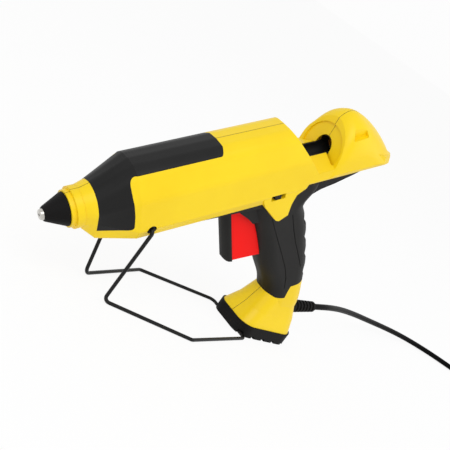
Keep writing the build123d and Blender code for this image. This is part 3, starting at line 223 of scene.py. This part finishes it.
FINISHES = {
    "shell_left": yellow_abs, "shell_right": yellow_abs, "nose_collar": yellow_abs, "top_cover": black_nylon,
    "nozzle": nickel, "nozzle_jacket": dark_rubber, "check_ball": zinc, "check_spring": zinc,
    "melt_chamber": cast_metal, "heater_plates": white_ceramic, "heater_clamp": zinc,
    "insulation_sleeve": glass_sleeve, "inlet_sleeve": red_silicone, "sleeve_clamp": zinc,
    "feed_carriage": black_nylon, "stick_guide": black_nylon, "trigger_body": red_abs,
    "trigger_pad": soft_rubber, "feed_lever": zinc, "lever_pin": zinc, "return_spring": zinc,
    "grip_left": soft_rubber, "grip_right": soft_rubber, "backstrap": soft_rubber, "sole": dark_rubber,
    "stand_wire": powder_coat, "stand_bushes": black_nylon, "switch_knob": black_nylon,
    "switch_body": black_nylon, "circuit_board": green_laminate, "terminal_block": pale_plastic,
    "inner_leads": red_silicone, "shell_screws": zinc, "strain_relief": dark_rubber, "cord_lead": black_pvc,
    "cord_coil": black_pvc, "cord_tail": black_pvc, "coil_tie": black_nylon, "plug_body": black_pvc,
    "plug_pins": nickel,
}
for name, finish in FINISHES.items():
    mesh = nodes[name].data
    mesh.materials.clear()
    mesh.materials.append(finish)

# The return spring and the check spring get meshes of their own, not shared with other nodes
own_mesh(nodes["return_spring"])
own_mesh(nodes["check_spring"])

# Mains lead: one spline from the strain relief to the plug, with its put-away length in a coil.
# Its points are in mm on the table, x from below the nozzle tip
CORD_D = 6.3
EXIT = (331.0, 0.0, 33.6)
RISE = math.radians(9.5)
STRAIGHT = 38.0
ROUTE = [
    (404.0, 11.0, 36.8), (445.0, 25.5, 30.5), (490.0, 37.5, 23.5), (540.0, 46.5, 16.0), (590.0, 51.5, 10.0),
    (632.0, 48.5, 6.3), (664.0, 36.5, 4.5), (690.0, 17.0, 4.1),
]
COIL_AT = (776.2, -17.4, 0.0)
COIL_TURNED = math.radians(-148.0)
COIL = Matrix.Translation(COIL_AT) @ Matrix.Rotation(COIL_TURNED, 4, "Z")
COIL_R = 48.0
COIL_STEP = 7.8
COIL_LOW = 3.95
COIL_TURNS = 3
LEAD_IN = 35.0
TAIL_R = 70.0
TAIL_TURN = 75.0
TAIL_STEPS = 6
PER_TURN = 16
CORD_SMOOTH = 6


def coil_points():
    # Spiral in on the table, climb in half a turn, spiral out on top
    points = []
    inner = COIL_R - COIL_TURNS * COIL_STEP
    bulge = 1 / math.cos(math.pi / PER_TURN)
    for i in range(2 * COIL_TURNS * PER_TURN + 1):
        turn = i / PER_TURN
        if turn <= COIL_TURNS:
            radius, height = COIL_R - turn * COIL_STEP, COIL_LOW
        elif turn <= COIL_TURNS + 0.5:
            radius, height = inner, COIL_LOW + (turn - COIL_TURNS) * 2 * COIL_STEP
        else:
            radius, height = inner + (turn - COIL_TURNS - 0.5) * COIL_STEP, COIL_LOW + COIL_STEP
        angle = turn * 2 * math.pi
        reach = radius * bulge
        points.append(COIL @ Vector((reach * math.cos(angle), reach * math.sin(angle), height)))
    return points


def tail_points():
    # One wide arc from the coil's top turn to the plug, with its last stretch straight
    middle = COIL_R - COIL_STEP / 2 - TAIL_R
    bulge = 1 / math.cos(math.radians(TAIL_TURN) / TAIL_STEPS / 2)
    points = []
    for i in range(1, TAIL_STEPS + 1):
        angle = math.radians(TAIL_TURN) * i / TAIL_STEPS
        radius = TAIL_R * (bulge if i < TAIL_STEPS else 1.0)
        spot = Vector((middle + radius * math.cos(angle), radius * math.sin(angle), COIL_LOW + COIL_STEP))
        points.append(COIL @ spot)
    return points


straight_out = Vector((math.cos(RISE), 0, math.sin(RISE))) * STRAIGHT
cord_points = [Vector(EXIT), Vector(EXIT) + straight_out]
cord_points += [Vector(p) for p in ROUTE]
cord_points.append(COIL @ Vector((COIL_R, -LEAD_IN, COIL_LOW)))
cord_points += coil_points()
cord_points += tail_points()
cord_points = [TABLE @ (p * MM) for p in cord_points]


def cord_curve(name, points, radius, finish):
    curve = bpy.data.curves.new(name, "CURVE")
    curve.dimensions = "3D"
    curve.bevel_depth = radius
    curve.bevel_resolution = CORD_SMOOTH
    curve.resolution_u = CORD_SMOOTH
    curve.use_fill_caps = True
    spline = curve.splines.new("NURBS")
    spline.points.add(len(points) - 1)
    for slot, point in zip(spline.points, points):
        slot.co = (*point, 1.0)
    spline.order_u = 3
    spline.use_endpoint_u = True
    curve.materials.append(finish)
    piece = bpy.data.objects.new(name, curve)
    bpy.context.collection.objects.link(piece)
    return piece


lead = cord_curve("mains_lead", cord_points, CORD_D / 2 * MM, black_pvc)
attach(lead, "housing")
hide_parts("cord_lead", "cord_coil", "cord_tail")

# Camera at the photograph's place, level and lens: where it stands, and which way its axes point
CAMERA_SENSOR = 36.0
CAMERA_LENS = 72.0
CAMERA_FAR = 200.0
CAMERA_AT = (-0.56155, -0.49817, 0.28896)
CAMERA_RIGHT = Vector((0.654321, -0.510016, 0.558344))
CAMERA_UP = Vector((-0.228691, 0.570313, 0.788951))
CAMERA_AHEAD = Vector((0.720808, 0.643915, -0.256531))
camera = bpy.data.objects.new("camera", bpy.data.cameras.new("camera"))
bpy.context.collection.objects.link(camera)
camera.data.sensor_width = CAMERA_SENSOR
camera.data.lens = CAMERA_LENS
camera.data.clip_end = CAMERA_FAR
turned = Matrix((CAMERA_RIGHT, CAMERA_UP, -CAMERA_AHEAD)).transposed().to_4x4()
camera.matrix_world = Matrix.Translation(CAMERA_AT) @ turned
bpy.context.scene.camera = camera

# White floor that reads as the photo's background and keeps a faint shadow
FLOOR_HALF = 60.0
FLOOR_GLOW = 0.9
floor_mesh = bpy.data.meshes.new("floor")
shape = bmesh.new()
bmesh.ops.create_grid(shape, x_segments=1, y_segments=1, size=FLOOR_HALF)
shape.to_mesh(floor_mesh)
shape.free()
floor = bpy.data.objects.new("floor", floor_mesh)
bpy.context.collection.objects.link(floor)
paper, tree, shader = new_material("white_paper_floor", Roughness=0.9)
shader.inputs["Base Color"].default_value = linear("#FCFCFC")
shader.inputs["Specular IOR Level"].default_value = 0.0
ray = add(tree, "ShaderNodeLightPath")
seen = add(tree, "ShaderNodeMath", {0: ray.outputs["Is Camera Ray"], 1: ray.outputs["Is Glossy Ray"]},
           operation="MAXIMUM")
share = add(tree, "ShaderNodeMath", {0: seen.outputs["Value"]}, operation="MULTIPLY")
share.inputs[1].default_value = FLOOR_GLOW
glow = add(tree, "ShaderNodeEmission", Strength=1.0)
blend = add(tree, "ShaderNodeMixShader", {"Fac": share.outputs["Value"], 1: shader.outputs["BSDF"],
                                          2: glow.outputs["Emission"]})
tree.links.new(blend.outputs["Shader"], tree.nodes["Material Output"].inputs["Surface"])
floor_mesh.materials.append(paper)

# Studio light: a white surround, a broad key above and to the left, a weaker fill
SURROUND_LIGHT = 0.66
SURROUND_SEEN = 0.98
LAMP_SIZE = 1.2
KEY_AT = (-0.9, -0.9, 1.5)
KEY_POWER = 11.5
FILL_AT = (1.2, -1.0, 0.9)
FILL_POWER = 4.2
LAMP_AIM = (0, 0, 0.1)
world = bpy.data.worlds.new("studio")
bpy.context.scene.world = world
world.use_nodes = True
tree = world.node_tree
ground = tree.nodes["Background"]
ground.inputs["Color"].default_value = (1, 1, 1, 1)
ray = add(tree, "ShaderNodeLightPath")
seen = add(tree, "ShaderNodeMath", {0: ray.outputs["Is Camera Ray"], 1: ray.outputs["Is Glossy Ray"]},
           operation="MAXIMUM")
level = add(tree, "ShaderNodeMapRange", {"Value": seen.outputs["Value"]}, **{
    "To Min": SURROUND_LIGHT, "To Max": SURROUND_SEEN})
tree.links.new(level.outputs["Result"], ground.inputs["Strength"])


def lamp(name, place, power):
    light = bpy.data.lights.new(name, "AREA")
    light.shape = "DISK"
    light.size = LAMP_SIZE
    light.energy = power
    item = bpy.data.objects.new(name, light)
    bpy.context.collection.objects.link(item)
    item.location = place
    item.rotation_euler = (Vector(LAMP_AIM) - Vector(place)).to_track_quat("-Z", "Y").to_euler()


lamp("key", KEY_AT, KEY_POWER)
lamp("fill", FILL_AT, FILL_POWER)

bpy.context.scene.view_settings.view_transform = "Standard"
